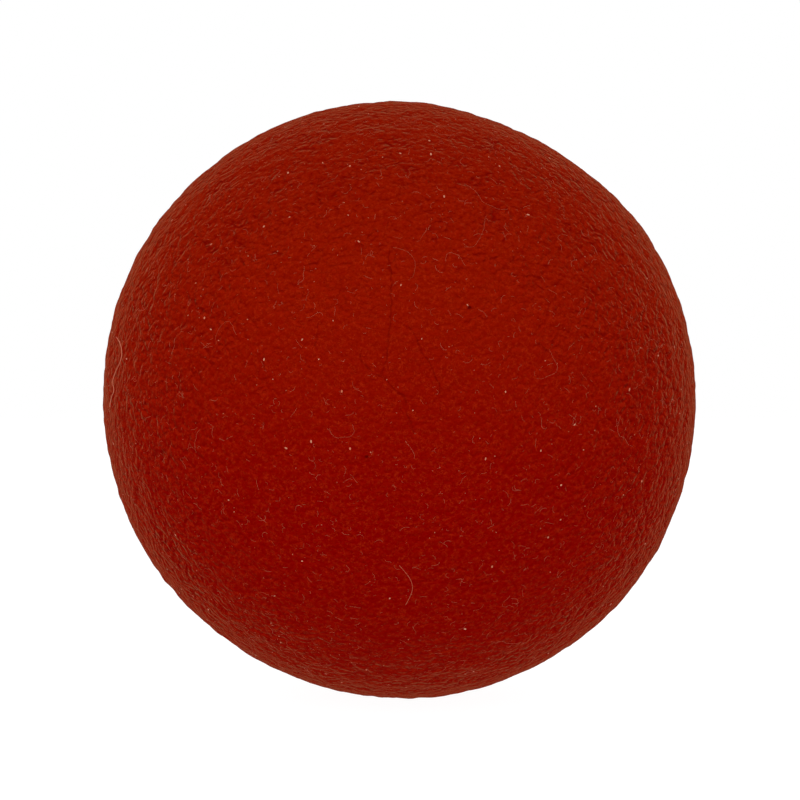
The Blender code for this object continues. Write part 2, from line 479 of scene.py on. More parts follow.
THREAD_BAND = 0.075  # how far from its middle value the noise still makes a thread
THREAD_GAPS = 0.9  # pitch of the gaps in the threads
THREAD_HEIGHT = 0.028
GRIT_PITCH = 0.36  # real grit is finer, and is drawn this coarse to show
GRIT_DEPTH = 0.045
CREASE_DEPTH = 0.08
PIT_DEPTH = 0.15
PAINTED_LIGHT_FROM = (0.0, -0.2, 0.98)  # the direction from which the pebbles' painted light and shade fall


def bent(tree, place, pitch, reach):
    """A place moved up to reach millimetres to either side by a noise that turns about once in a pitch."""
    noise = add(tree, "ShaderNodeTexNoise", {"Vector": place, "Scale": 1 / pitch, "Detail": 1.0}, "Color")
    noise = add(tree, "ShaderNodeVectorMath", {0: noise, 1: (0.5, 0.5, 0.5)}, operation="SUBTRACT")
    return add(tree, "ShaderNodeVectorMath", {0: noise, 1: (2 * reach,) * 3, 2: place},
               operation="MULTIPLY_ADD")


def domes(tree, place, pitch, steepness):
    """0 in the middle of a dome and about 1 where three domes meet, with a sharp fold between two domes."""
    cell = add(tree, "ShaderNodeTexVoronoi", {"Vector": place, "Scale": 1 / pitch, "Randomness": 1.0},
               feature="F1")
    cell = add(tree, "ShaderNodeMath", {0: cell, 1: CORNER}, operation="DIVIDE")
    return add(tree, "ShaderNodeMath", {0: cell, 1: steepness}, operation="POWER")


tree, shader = rubber_tree, rubber_shader
here = add(tree, "ShaderNodeTexCoord", None, "Object")
outward = add(tree, "ShaderNodeVectorMath", {0: here}, operation="NORMALIZE")
place = add(tree, "ShaderNodeVectorMath", {0: outward, "Scale": BALL_RADIUS / MM}, operation="SCALE")
strength = grain_strength(tree, outward)
uneven = add(tree, "ShaderNodeTexNoise", {"Vector": place, "Scale": 1 / UNEVEN_PITCH, "Detail": 2.0})
uneven = add(tree, "ShaderNodeMapRange", {0: uneven, 1: 0.35, 2: 0.65, 3: 0.6, 4: 1.0})
strength = add(tree, "ShaderNodeMath", {0: strength, 1: uneven}, operation="MULTIPLY")

winding = place
for pitch, reach in BENDS:
    winding = bent(tree, winding, pitch, reach)
edge = add(tree, "ShaderNodeTexVoronoi", {"Vector": winding, "Scale": 1 / PEBBLE_PITCH, "Randomness": 1.0},
           feature="DISTANCE_TO_EDGE")
deep = add(tree, "ShaderNodeMapRange", {0: edge, 1: 0.0, 2: FLANK, 3: 1.0, 4: 0.0},
           interpolation_type="SMOOTHSTEP")
broken = add(tree, "ShaderNodeTexNoise", {"Vector": place, "Scale": 1 / BROKEN_PITCH, "Detail": 1.0})
broken = add(tree, "ShaderNodeMapRange",
             {0: broken, 1: BROKEN_RANGE[0], 2: BROKEN_RANGE[1], 3: FAINTEST_FOLD, 4: 1.0})
deep = add(tree, "ShaderNodeMath", {0: deep, 1: broken}, operation="MULTIPLY")
deep = add(tree, "ShaderNodeMath", {0: deep, 1: strength}, operation="MULTIPLY")
wrinkle = domes(tree, bent(tree, place, *WRINKLE_BEND), WRINKLE_PITCH, 2.0)
kept = add(tree, "ShaderNodeMath", {0: strength, 1: 1 - WRINKLE_WORN, 2: WRINKLE_WORN},
           operation="MULTIPLY_ADD")
wrinkle = add(tree, "ShaderNodeMath", {0: wrinkle, 1: kept}, operation="MULTIPLY")

# A noise crosses its middle value along curling lines, and near those lines a thread lies.
thread = add(tree, "ShaderNodeTexNoise", {"Vector": place, "Scale": 1 / THREAD_PITCH, "Detail": 1.0,
                                          "Distortion": 0.8})
thread = add(tree, "ShaderNodeMath", {0: thread, 1: 0.5}, operation="SUBTRACT")
thread = add(tree, "ShaderNodeMath", {0: thread}, operation="ABSOLUTE")
thread = add(tree, "ShaderNodeMapRange", {0: thread, 1: 0.0, 2: THREAD_BAND, 3: 1.0, 4: 0.0},
             interpolation_type="SMOOTHSTEP")
gap = add(tree, "ShaderNodeTexNoise", {"Vector": place, "Scale": 1 / THREAD_GAPS, "Detail": 1.0})
gap = add(tree, "ShaderNodeMapRange", {0: gap, 1: 0.42, 2: 0.58, 3: 0.0, 4: 1.0})
thread = add(tree, "ShaderNodeMath", {0: thread, 1: gap}, operation="MULTIPLY")
grit = add(tree, "ShaderNodeTexNoise", {"Vector": place, "Scale": 1 / GRIT_PITCH, "Detail": 1.0})

crease = crease_distance(tree, bent(tree, place, *CREASE_BEND))
crease = add(tree, "ShaderNodeMapRange", {0: crease, 1: 0.0, 2: CREASE_WIDTH, 3: 1.0, 4: 0.0},
             interpolation_type="SMOOTHSTEP")
hole = pit_distance(tree, bent(tree, place, *PIT_BEND))
hole = add(tree, "ShaderNodeMapRange", {0: hole, 1: PIT_BOTTOM, 2: PIT_REACH, 3: 1.0, 4: 0.0},
           interpolation_type="SMOOTHSTEP")

height = 0.0
for layer, rise in ((deep, -PEBBLE_DEPTH), (wrinkle, -WRINKLE_DEPTH), (thread, THREAD_HEIGHT),
                    (grit, GRIT_DEPTH), (crease, -CREASE_DEPTH), (hole, -PIT_DEPTH)):
    height = add(tree, "ShaderNodeMath", {0: layer, 1: rise, 2: height}, operation="MULTIPLY_ADD")
bump = add(tree, "ShaderNodeBump", {"Strength": 1.0, "Distance": MM, "Height": height})

# %% [markdown]
# The upper side of each pebble is painted lighter and its under side darker, as painted light and
# shade from above, and that is what makes the pebbles show in so even a light. The relief of pebbles and
# wrinkles alone gives a surface direction, and how much more it leans up than the plain ball does there
# says which side of a pebble a place is on.

# %% Which side of a pebble
relief = 0.0
for layer, rise in ((deep, -PEBBLE_DEPTH), (wrinkle, -WRINKLE_DEPTH)):
    relief = add(tree, "ShaderNodeMath", {0: layer, 1: rise, 2: relief}, operation="MULTIPLY_ADD")
leaning = add(tree, "ShaderNodeBump", {"Strength": 1.0, "Distance": MM, "Height": relief})
plain = add(tree, "ShaderNodeNewGeometry", None, "Normal")
tilt = add(tree, "ShaderNodeVectorMath", {0: leaning, 1: plain}, operation="SUBTRACT")
tilt = add(tree, "ShaderNodeVectorTransform", {0: tilt}, vector_type="VECTOR", convert_from="WORLD",
           convert_to="OBJECT")
tilt = add(tree, "ShaderNodeVectorMath", {0: tilt, 1: PAINTED_LIGHT_FROM}, "Value", operation="DOT_PRODUCT")

# %% [markdown]
# The colour follows the grain. Rubbed threads are lighter and a touch orange. Pebble tops are lighter
# and a touch orange too, partly from rubbing and partly as painted light, and the bottoms of folds,
# wrinkles, creases and pits are painted darker, as painted shade. A pebble's side that leans up is
# painted lighter and its under side darker, as painted light and shade, and the upper half is painted a
# touch oranger, as painted light from above. Each step mixes a new colour over the last by one of the
# masks, so a single loop lays them down in order.
#
# Vulcanised rubber with this much pigment has no shine left, so its roughness is high and its specular
# level is nothing. The dust's sheen gives the eye the soft, paler rim where the ball turns away.

# %% The colour of the cover
MOTTLE_PITCH = 0.5
PATCH_PITCH = 0.6
MOST_TILT = 0.45  # the lean of a pebble's side that is painted fully lit, or fully shaded

mottle = add(tree, "ShaderNodeTexNoise",
             {"Vector": place, "Scale": 1 / MOTTLE_PITCH, "Detail": 3.0, "Roughness": 0.75})
mottle = add(tree, "ShaderNodeMapRange", {0: mottle, 1: 0.38, 2: 0.62, 3: 0.0, 4: 1.0})
# The upper half is painted a touch lighter and oranger, mottled, as painted light from above.
upper = facing(tree, outward, (0, 0, 1), 60, 115, 1.0, 0.0)
painted_top_light = add(tree, "ShaderNodeMath", {0: mottle, 1: 0.3, 2: 0.5}, operation="MULTIPLY_ADD")
painted_top_light = add(tree, "ShaderNodeMath", {0: upper, 1: painted_top_light}, operation="MULTIPLY")
# Pebble tops are lighter and a touch orange, partly from rubbing and partly as painted light.
top = add(tree, "ShaderNodeMapRange", {0: edge, 1: 0.03, 2: 0.28, 3: 0.0, 4: 0.55})
patchy = add(tree, "ShaderNodeTexNoise", {"Vector": place, "Scale": 1 / PATCH_PITCH, "Detail": 3.0})
patchy = add(tree, "ShaderNodeMapRange", {0: patchy, 1: 0.38, 2: 0.62, 3: 0.35, 4: 0.9})
top = add(tree, "ShaderNodeMath", {0: top, 1: patchy}, operation="MULTIPLY")
speckle = add(tree, "ShaderNodeMapRange", {0: grit, 1: 0.38, 2: 0.62, 3: 0.0, 4: 0.3})
rubbed = add(tree, "ShaderNodeMath", {0: thread, 1: 0.5}, operation="MULTIPLY")
# The bottom of each fold is painted darker, as painted shade.
pit = add(tree, "ShaderNodeMapRange", {0: deep, 1: 0.7, 2: 0.95, 3: 0.0, 4: 0.5},
          interpolation_type="SMOOTHSTEP")
# The folds of the wrinkles are painted darker, as painted shade.
wrinkle_shade = add(tree, "ShaderNodeMapRange", {0: wrinkle, 1: 0.4, 2: 0.9, 3: 0.0, 4: 0.35},
           interpolation_type="SMOOTHSTEP")
# A pebble's side that leans up is painted lighter and its under side darker: painted light and shade.
painted_lit_side = add(tree, "ShaderNodeMapRange", {0: tilt, 1: 0.0, 2: MOST_TILT, 3: 0.0, 4: 0.62})
painted_shaded_side = add(tree, "ShaderNodeMapRange", {0: tilt, 1: -MOST_TILT, 2: 0.0, 3: 0.55, 4: 0.0})
# Creases and pits are painted darker, as painted shade in them.
crease_shade = add(tree, "ShaderNodeMath", {0: crease, 1: 0.45}, operation="MULTIPLY")
colour = linear("#700000")
for mask, hex_colour in ((mottle, "#780000"), (painted_top_light, "#7e1600"), (top, "#7c0b00"), (speckle, "#660000"),
                         (rubbed, "#982408"), (painted_lit_side, "#921604"), (painted_shaded_side, "#600000"), (pit, "#680000"),
                         (wrinkle_shade, "#600000"), (crease_shade, "#560000"), (hole, "#500000")):
    colour = add(tree, "ShaderNodeMix", {0: mask, 6: colour, 7: linear(hex_colour)}, 2, data_type="RGBA")
tree.links.new(colour, shader.inputs["Base Color"])
tree.links.new(bump, shader.inputs["Normal"])
shader.inputs["Roughness"].default_value = 0.8
shader.inputs["IOR"].default_value = 1.52
shader.inputs["Specular IOR Level"].default_value = 0.0
shader.inputs["Sheen Weight"].default_value = 0.23
shader.inputs["Sheen Roughness"].default_value = 0.26
shader.inputs["Sheen Tint"].default_value = linear("#dca670")
cover_mesh.materials.clear()
cover_mesh.materials.append(rubber)
for polygon in cover_mesh.polygons:
    polygon.material_index = 0
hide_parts("outer_cover")
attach(cover, "root")

# %% [markdown]
# ## Lint
#
# Rubber picks up lint from whatever it rolls on. Each fibre is a thin tube that wanders over the grain.
# A geometry tree scatters the starting points over the cover, copies each one into a row of steps,
# turns the heading a little from step to step, adds the steps up, and drops every point onto the cover
# with a ray. Real tubes catch the light from every side, and they lie on the rubber instead of in it.

# %% Scatter the starts and copy them into steps
lint_tree, lint_in = new_tree("lint", {
    "Count": 100, "Steps": 8, "Shortest": 1 * MM, "Longest": 4 * MM, "Curl": 1.0, "Kink": 0.5,
    "Thickness": 0.05 * MM, "Seed": 1})
lint_tree.interface.new_socket(name="Cover", in_out="INPUT", socket_type="NodeSocketObject")
lint_tree.interface.new_socket(name="Finish", in_out="INPUT", socket_type="NodeSocketMaterial")
get = lint_in.outputs
BALL_AREA = 4 * math.pi * BALL_RADIUS ** 2
WALL_MIDDLE = (BALL_RADIUS + COVER_INSIDE) / 2  # what lies farther out is the cover's outer face


def scattered(tree, get):
    """Points at random on the cover's outer face, with the shape that they lie on."""
    cover_shape = add(tree, "GeometryNodeObjectInfo", {"Object": get["Cover"]}, "Geometry")
    density = add(tree, "ShaderNodeMath", {0: get["Count"], 1: BALL_AREA}, operation="DIVIDE")
    there = add(tree, "GeometryNodeInputPosition")
    far = add(tree, "ShaderNodeVectorMath", {0: there}, "Value", operation="LENGTH")
    outer = add(tree, "ShaderNodeMath", {0: far, 1: WALL_MIDDLE}, operation="GREATER_THAN")
    points = add(tree, "GeometryNodeDistributePointsOnFaces",
                 {"Mesh": cover_shape, "Selection": outer, "Density": density, "Seed": get["Seed"]})
    return points, cover_shape


points, cover_shape = scattered(lint_tree, get)
for label, kind, value in (("start", "FLOAT_VECTOR", add(lint_tree, "GeometryNodeInputPosition")),
                           ("fibre", "INT", add(lint_tree, "GeometryNodeInputIndex"))):
    points = add(lint_tree, "GeometryNodeStoreNamedAttribute",
                 {"Geometry": points, "Name": label, "Value": value}, data_type=kind)
copies = add(lint_tree, "GeometryNodeDuplicateElements", {"Geometry": points, "Amount": get["Steps"]},
             domain="POINT").node.outputs
points = add(lint_tree, "GeometryNodeStoreNamedAttribute",
             {"Geometry": copies["Geometry"], "Name": "step", "Value": copies["Duplicate Index"]},
             data_type="INT")

# %% Let each fibre wander from its start
fibre = add(lint_tree, "GeometryNodeInputNamedAttribute", {"Name": "fibre"}, data_type="INT")
step = add(lint_tree, "GeometryNodeInputNamedAttribute", {"Name": "step"}, data_type="INT")
origin = add(lint_tree, "GeometryNodeInputNamedAttribute", {"Name": "start"}, data_type="FLOAT_VECTOR")
each = add(lint_tree, "GeometryNodeInputIndex")
heading = add(lint_tree, "FunctionNodeRandomValue", {2: 0.0, 3: math.tau, "ID": fibre, "Seed": 11}, 1)
curl = add(lint_tree, "FunctionNodeRandomValue", {2: -1.0, 3: 1.0, "ID": fibre, "Seed": 12}, 1)
kink = add(lint_tree, "FunctionNodeRandomValue", {2: -1.0, 3: 1.0, "ID": each, "Seed": 13}, 1)
curl = add(lint_tree, "ShaderNodeMath", {0: curl, 1: get["Curl"]}, operation="MULTIPLY")
turn = add(lint_tree, "ShaderNodeMath", {0: kink, 1: get["Kink"], 2: curl}, operation="MULTIPLY_ADD")
so_far = add(lint_tree, "GeometryNodeAccumulateField", {"Value": turn, "Group ID": fibre}, "Trailing",
             data_type="FLOAT")
heading = add(lint_tree, "ShaderNodeMath", {0: heading, 1: so_far}, operation="ADD")
long_share = add(lint_tree, "FunctionNodeRandomValue", {2: 0.0, 3: 1.0, "ID": fibre, "Seed": 14}, 1)
long_share = add(lint_tree, "ShaderNodeMath", {0: long_share, 1: 2.0}, operation="POWER")
length = add(lint_tree, "ShaderNodeMapRange", {0: long_share, 3: get["Shortest"], 4: get["Longest"]})
stride = add(lint_tree, "ShaderNodeMath", {0: length, 1: get["Steps"]}, operation="DIVIDE")
east = add(lint_tree, "ShaderNodeMath", {0: heading}, operation="COSINE")
north = add(lint_tree, "ShaderNodeMath", {0: heading}, operation="SINE")
course = add(lint_tree, "ShaderNodeCombineXYZ", {0: east, 1: north})
stride = add(lint_tree, "ShaderNodeVectorMath", {0: course, "Scale": stride}, operation="SCALE")
walked = add(lint_tree, "GeometryNodeAccumulateField", {"Value": stride, "Group ID": fibre}, "Trailing",
             data_type="FLOAT_VECTOR")
walked = add(lint_tree, "ShaderNodeSeparateXYZ", {0: walked}).node.outputs

# %% Lay the steps on the cover and give the fibres their thickness
SOME_WAY = (0.31, 0.52, 0.79)  # any direction, from which the two directions along the surface follow
out = add(lint_tree, "ShaderNodeVectorMath", {0: origin}, operation="NORMALIZE")
across = add(lint_tree, "ShaderNodeVectorMath", {0: out, 1: SOME_WAY}, operation="CROSS_PRODUCT")
across = add(lint_tree, "ShaderNodeVectorMath", {0: across}, operation="NORMALIZE")
along = add(lint_tree, "ShaderNodeVectorMath", {0: out, 1: across}, operation="CROSS_PRODUCT")
there = origin
for direction, distance in ((across, walked["X"]), (along, walked["Y"])):
    moved = add(lint_tree, "ShaderNodeVectorMath", {0: direction, "Scale": distance}, operation="SCALE")
    there = add(lint_tree, "ShaderNodeVectorMath", {0: there, 1: moved}, operation="ADD")
away = add(lint_tree, "ShaderNodeVectorMath", {0: there}, operation="NORMALIZE")
above = add(lint_tree, "ShaderNodeVectorMath", {0: away, "Scale": 1.1 * BALL_RADIUS}, operation="SCALE")
inward = add(lint_tree, "ShaderNodeVectorMath", {0: away, "Scale": -1.0}, operation="SCALE")
landed = add(lint_tree, "GeometryNodeRaycast",
             {"Target Geometry": cover_shape, "Source Position": above, "Ray Direction": inward,
              "Ray Length": 0.2 * BALL_RADIUS}, "Hit Position")
lift = add(lint_tree, "ShaderNodeMath", {0: get["Thickness"], 1: 0.45}, operation="MULTIPLY")
lift = add(lint_tree, "ShaderNodeVectorMath", {0: away, "Scale": lift}, operation="SCALE")
landed = add(lint_tree, "ShaderNodeVectorMath", {0: landed, 1: lift}, operation="ADD")
points = add(lint_tree, "GeometryNodeSetPosition", {"Geometry": points, "Position": landed})
threads = add(lint_tree, "GeometryNodePointsToCurves", {0: points, 1: fibre, 2: step})
half = add(lint_tree, "ShaderNodeMath", {0: get["Thickness"], 1: 0.5}, operation="MULTIPLY")
section = add(lint_tree, "GeometryNodeCurvePrimitiveCircle", {"Resolution": 3, "Radius": half})
tubes = add(lint_tree, "GeometryNodeCurveToMesh",
            {"Curve": threads, "Profile Curve": section, "Fill Caps": True})
tubes = add(lint_tree, "GeometryNodeRealizeInstances", {0: tubes})
tubes = add(lint_tree, "GeometryNodeSetMaterial", {"Geometry": tubes, "Material": get["Finish"]})
add(lint_tree, "NodeGroupOutput", {"Geometry": tubes})

# %% [markdown]
# Cotton lint is nearly white, but a fibre thinner than the light's path through it takes on much of the
# red below. So its colour runs from a dusty red to a dusty pink, and changes every few millimetres.

# %% Lint material and fibres
LINT_SHADES = 4 * MM  # how far apart its light and dark stretches lie
LINT_THICKNESS = 0.032 * MM  # a cotton fibre or two

lint_finish, tree, shader = new_material("pale cotton lint")
here = add(tree, "ShaderNodeTexCoord", None, "Object")
shade = add(tree, "ShaderNodeTexNoise", {"Vector": here, "Scale": 1 / LINT_SHADES, "Detail": 0.0})
shade = add(tree, "ShaderNodeMix", {0: shade, 6: linear("#a2442a"), 7: linear("#c88064")}, 2,
            data_type="RGBA")
tree.links.new(shade, shader.inputs["Base Color"])
shader.inputs["Roughness"].default_value = 0.9
shader.inputs["Specular IOR Level"].default_value = 0.1

for name, values in (
    ("short_lint", {"Count": 7000, "Steps": 5, "Shortest": 0.35 * MM, "Longest": 2.8 * MM, "Curl": 0.7,
                    "Kink": 0.5, "Thickness": LINT_THICKNESS, "Seed": 3}),
    ("long_lint", {"Count": 70, "Steps": 26, "Shortest": 4 * MM, "Longest": 12 * MM, "Curl": 0.12,
                   "Kink": 0.35, "Thickness": LINT_THICKNESS, "Seed": 8}),
):
    fibres = grown(name, lint_tree, {**values, "Cover": cover, "Finish": lint_finish})
    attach(fibres, "root")

# %% [markdown]
# Dust settles on rubber too, as pale specks a few tenths of a millimetre across. Each is a flattened
# lump with twenty faces, set on the cover at random and pressed flat against it. House dust is mostly
# skin and paper fibre: dull and pale, and here it is tinted by the red that shines through it.

# %% Dust specks
dust_tree, dust_in = new_tree("dust", {"Count": 100, "Smallest": 0.1, "Largest": 0.4, "Seed": 1})
dust_tree.interface.new_socket(name="Cover", in_out="INPUT", socket_type="NodeSocketObject")
dust_tree.interface.new_socket(name="Finish", in_out="INPUT", socket_type="NodeSocketMaterial")
get = dust_in.outputs
points, cover_shape = scattered(dust_tree, get)
lie = points.node.outputs["Rotation"]
lump = add(dust_tree, "GeometryNodeMeshIcoSphere", {"Radius": 0.5 * MM, "Subdivisions": 1})
each = add(dust_tree, "GeometryNodeInputIndex")
size = add(dust_tree, "FunctionNodeRandomValue", {2: 0.0, 3: 1.0, "ID": each, "Seed": 5}, 1)
size = add(dust_tree, "ShaderNodeMath", {0: size, 1: 4.0}, operation="POWER")
size = add(dust_tree, "ShaderNodeMapRange", {0: size, 3: get["Smallest"], 4: get["Largest"]})
stretch = add(dust_tree, "FunctionNodeRandomValue", {2: 1.0, 3: 2.2, "ID": each, "Seed": 6}, 1)
long_side = add(dust_tree, "ShaderNodeMath", {0: size, 1: stretch}, operation="MULTIPLY")
flat_side = add(dust_tree, "ShaderNodeMath", {0: size, 1: 0.45}, operation="MULTIPLY")
scale = add(dust_tree, "ShaderNodeCombineXYZ", {0: long_side, 1: size, 2: flat_side})
spin = add(dust_tree, "FunctionNodeRandomValue", {2: 0.0, 3: math.tau, "ID": each, "Seed": 7}, 1)
spin = add(dust_tree, "ShaderNodeCombineXYZ", {2: spin})
spin = add(dust_tree, "FunctionNodeEulerToRotation", {0: spin})
spin = add(dust_tree, "FunctionNodeRotateRotation", {0: lie, 1: spin}, rotation_space="LOCAL")
specks = add(dust_tree, "GeometryNodeInstanceOnPoints",
             {"Points": points, "Instance": lump, "Rotation": spin, "Scale": scale})
specks = add(dust_tree, "GeometryNodeRealizeInstances", {0: specks})
specks = add(dust_tree, "GeometryNodeSetMaterial", {"Geometry": specks, "Material": get["Finish"]})
add(dust_tree, "NodeGroupOutput", {"Geometry": specks})

dust_finish, tree, shader = new_material("pale house dust")
here = add(tree, "ShaderNodeTexCoord", None, "Object")
shade = add(tree, "ShaderNodeTexNoise", {"Vector": here, "Scale": 1 / (3 * MM), "Detail": 0.0})
shade = add(tree, "ShaderNodeMix", {0: shade, 6: linear("#a04c34"), 7: linear("#c48a6c")}, 2,
            data_type="RGBA")
tree.links.new(shade, shader.inputs["Base Color"])
shader.inputs["Roughness"].default_value = 0.9
specks = grown("dust_specks", dust_tree, {"Count": 1100, "Smallest": 0.10, "Largest": 0.42, "Seed": 4,
                                          "Cover": cover, "Finish": dust_finish})
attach(specks, "root")

# %% [markdown]
# Two fibres and a few specks are large enough to know this ball by, so they are placed one by one. A ray
# from outside finds the rubber under each point. The fibres are smooth curves with a round section, and
# the specks are small lumps pressed flat.

# %% Fibres and specks placed one by one
FIBRES = (  # (right, up) points on the side that faces the camera, and the thickness, in millimetres
    (((-59.5, 14), (-57.5, 12.5), (-56, 11), (-55.6, 9), (-56.4, 7.2), (-58, 5.5), (-58.6, 3.5),
      (-57.8, 1.8), (-58.8, 0.4), (-59, -1.5)), 0.18),
    (((0, -31), (1.8, -33), (2.6, -35), (2.3, -37), (1.2, -39)), 0.07),
)
SPECKS = ((-9.5, 45), (-9, -9), (17.5, -31.5), (-6.5, -53.5), (47.5, -16), (-10.5, 1.5), (-37, 15.5))
SPECK_SIZE = (0.26, 0.18, 0.09)  # half sides, in millimetres
SPECK_LIFT = 0.04
FIBRE_LIFT = 0.3  # of the fibre's thickness, which leaves it a little pressed in

surface = BVHTree.FromObject(cover, bpy.context.evaluated_depsgraph_get())


def dropped(right, up, lift):
    """The rubber's point below a place on the front, raised by lift, and the way out of the ball there."""
    out = on_front(right, up).normalized()
    found = surface.ray_cast(out * 1.1 * BALL_RADIUS, -out)[0]
    return found + out * lift, out


threads = bpy.data.curves.new("large_lint", "CURVE")
threads.dimensions = "3D"
threads.bevel_depth = 0.5 * MM
threads.bevel_resolution = 1
threads.use_fill_caps = True
threads.resolution_u = 6
for path, thickness in FIBRES:
    spline = threads.splines.new("NURBS")
    spline.points.add(len(path) - 1)
    spline.order_u = 3
    spline.use_endpoint_u = True
    for point, (right, up) in zip(spline.points, path):
        point.co = (*dropped(right, up, FIBRE_LIFT * thickness * MM)[0], 1.0)
        point.radius = thickness
drawn = bpy.data.objects.new("large_lint_curve", threads)
bpy.context.scene.collection.objects.link(drawn)
seen = drawn.evaluated_get(bpy.context.evaluated_depsgraph_get())
shape = bmesh.new()
shape.from_mesh(bpy.data.meshes.new_from_object(seen))
bpy.data.objects.remove(drawn)
flat = Matrix.Diagonal((*(Vector(SPECK_SIZE) * MM), 1.0))
for right, up in SPECKS:
    point, out = dropped(right, up, SPECK_LIFT * MM)
    lying = Matrix.Translation(point) @ out.to_track_quat("Z", "X").to_matrix().to_4x4()
    bmesh.ops.create_icosphere(shape, subdivisions=2, radius=1.0, matrix=lying @ flat)
bmesh.ops.recalc_face_normals(shape, faces=shape.faces)
large_mesh = bpy.data.meshes.new("large_lint")
shape.to_mesh(large_mesh)
shape.free()
large_mesh.materials.append(lint_finish)
large_lint = bpy.data.objects.new("large_lint", large_mesh)
bpy.context.scene.collection.objects.link(large_lint)
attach(large_lint, "root")
print(f"large_lint: {len(large_mesh.polygons)} faces")

# %% [markdown]
# ## The thread winding
#
# Under the cover, nylon thread is wound over the bladder along great circles in every direction, which
# keeps a ball round and stops it swelling. A geometry tree does the same: it scatters axes, puts a ring
# of thread round each one, and leaves out the few rings that would cross the valve's hole. Each ring
# has a slightly different radius, because later turns lie on earlier ones.

# %% Wind the thread
THREAD_TURNS = 230
THREAD_THICKNESS = 0.30 * MM
ring_heights = [math.hypot(radius, height) for radius, height in corners("nylon_winding")]
WOUND_INSIDE = min(ring_heights)
WOUND_OUTSIDE = max(ring_heights)
wound_hole = min(radius for radius, height in corners("nylon_winding") if height > 0)
HOLE_LEAN = math.asin((wound_hole + THREAD_THICKNESS) / WOUND_OUTSIDE)

wind_tree, wind_in = new_tree("thread winding", {
    "Turns": THREAD_TURNS, "Thickness": THREAD_THICKNESS, "Seed": 2})
wind_tree.interface.new_socket(name="Finish", in_out="INPUT", socket_type="NodeSocketMaterial")
get = wind_in.outputs
axes = add(wind_tree, "GeometryNodePoints", {"Count": get["Turns"]})
each = add(wind_tree, "GeometryNodeInputIndex")
tilt = add(wind_tree, "FunctionNodeRandomValue",
           {2: math.sin(HOLE_LEAN), 3: 1.0, "ID": each, "Seed": get["Seed"]}, 1)
tilt = add(wind_tree, "ShaderNodeMath", {0: tilt}, operation="ARCCOSINE")
round_valve = add(wind_tree, "FunctionNodeRandomValue", {2: 0.0, 3: math.tau, "ID": each, "Seed": 21}, 1)
lean = add(wind_tree, "ShaderNodeCombineXYZ", {0: tilt})
lean = add(wind_tree, "FunctionNodeEulerToRotation", {0: lean})
pan = add(wind_tree, "ShaderNodeCombineXYZ", {2: round_valve})
pan = add(wind_tree, "FunctionNodeEulerToRotation", {0: pan})
to_valve = add(wind_tree, "FunctionNodeEulerToRotation", {0: (-math.pi / 2, 0.0, 0.0)})
aim = add(wind_tree, "FunctionNodeRotateRotation", {0: lean, 1: pan}, rotation_space="GLOBAL")
aim = add(wind_tree, "FunctionNodeRotateRotation", {0: aim, 1: to_valve}, rotation_space="GLOBAL")
ring = add(wind_tree, "GeometryNodeCurvePrimitiveCircle", {"Resolution": 90, "Radius": 1.0})
low = add(wind_tree, "ShaderNodeMath", {0: get["Thickness"], 1: 0.5, 2: WOUND_INSIDE},
          operation="MULTIPLY_ADD")
high = add(wind_tree, "ShaderNodeMath", {0: get["Thickness"], 1: -0.5, 2: WOUND_OUTSIDE},
           operation="MULTIPLY_ADD")
size = add(wind_tree, "FunctionNodeRandomValue", {2: low, 3: high, "ID": each, "Seed": 22}, 1)
rings = add(wind_tree, "GeometryNodeInstanceOnPoints",
            {"Points": axes, "Instance": ring, "Rotation": aim, "Scale": size})
rings = add(wind_tree, "GeometryNodeRealizeInstances", {0: rings})
half = add(wind_tree, "ShaderNodeMath", {0: get["Thickness"], 1: 0.5}, operation="MULTIPLY")
section = add(wind_tree, "GeometryNodeCurvePrimitiveCircle", {"Resolution": 4, "Radius": half})
wound = add(wind_tree, "GeometryNodeCurveToMesh", {"Curve": rings, "Profile Curve": section})
wound = add(wind_tree, "GeometryNodeRealizeInstances", {0: wound})
wound = add(wind_tree, "GeometryNodeSetMaterial", {"Geometry": wound, "Material": get["Finish"]})
add(wind_tree, "NodeGroupOutput", {"Geometry": wound})

# %% [markdown]
# The thread is spun nylon, soaked in latex so that it stays put. The latex dries to an uneven honey
# tone, and the filaments give the thread fine dark lines. Real filaments are about 0.02 mm thick, and
# are drawn at 0.12 mm so that they show.

# %% Thread material
FILAMENT_PITCH = 0.12 * MM
SOAK_PITCH = 9 * MM  # how far apart the latex lies thick

nylon, tree, shader = new_material("spun nylon thread, soaked in latex")
here = add(tree, "ShaderNodeTexCoord", None, "Object")
soaked = add(tree, "ShaderNodeTexNoise", {"Vector": here, "Scale": 1 / SOAK_PITCH, "Detail": 2.0})
soaked = add(tree, "ShaderNodeMapRange", {0: soaked, 1: 0.4, 2: 0.6, 3: 0.0, 4: 1.0})
colour = add(tree, "ShaderNodeMix", {0: soaked, 6: linear("#e4dfd2"), 7: linear("#cdb88e")}, 2,
             data_type="RGBA")
filament = add(tree, "ShaderNodeTexNoise", {"Vector": here, "Scale": 1 / FILAMENT_PITCH, "Detail": 1.0})
dull = add(tree, "ShaderNodeMapRange", {0: filament, 1: 0.35, 2: 0.65, 3: 0.0, 4: 0.25})
colour = add(tree, "ShaderNodeMix", {0: dull, 6: colour, 7: linear("#8d8470")}, 2, data_type="RGBA")
tree.links.new(colour, shader.inputs["Base Color"])
bump = add(tree, "ShaderNodeBump", {"Strength": 0.5, "Distance": 0.05 * MM, "Height": filament})
tree.links.new(bump, shader.inputs["Normal"])
shader.inputs["Roughness"].default_value = 0.55
shader.inputs["IOR"].default_value = 1.53
winding = grown("thread_winding", wind_tree, {
    "Turns": THREAD_TURNS, "Thickness": THREAD_THICKNESS, "Finish": nylon})
winding.data.shade_smooth()
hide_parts("nylon_winding")
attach(winding, "root")

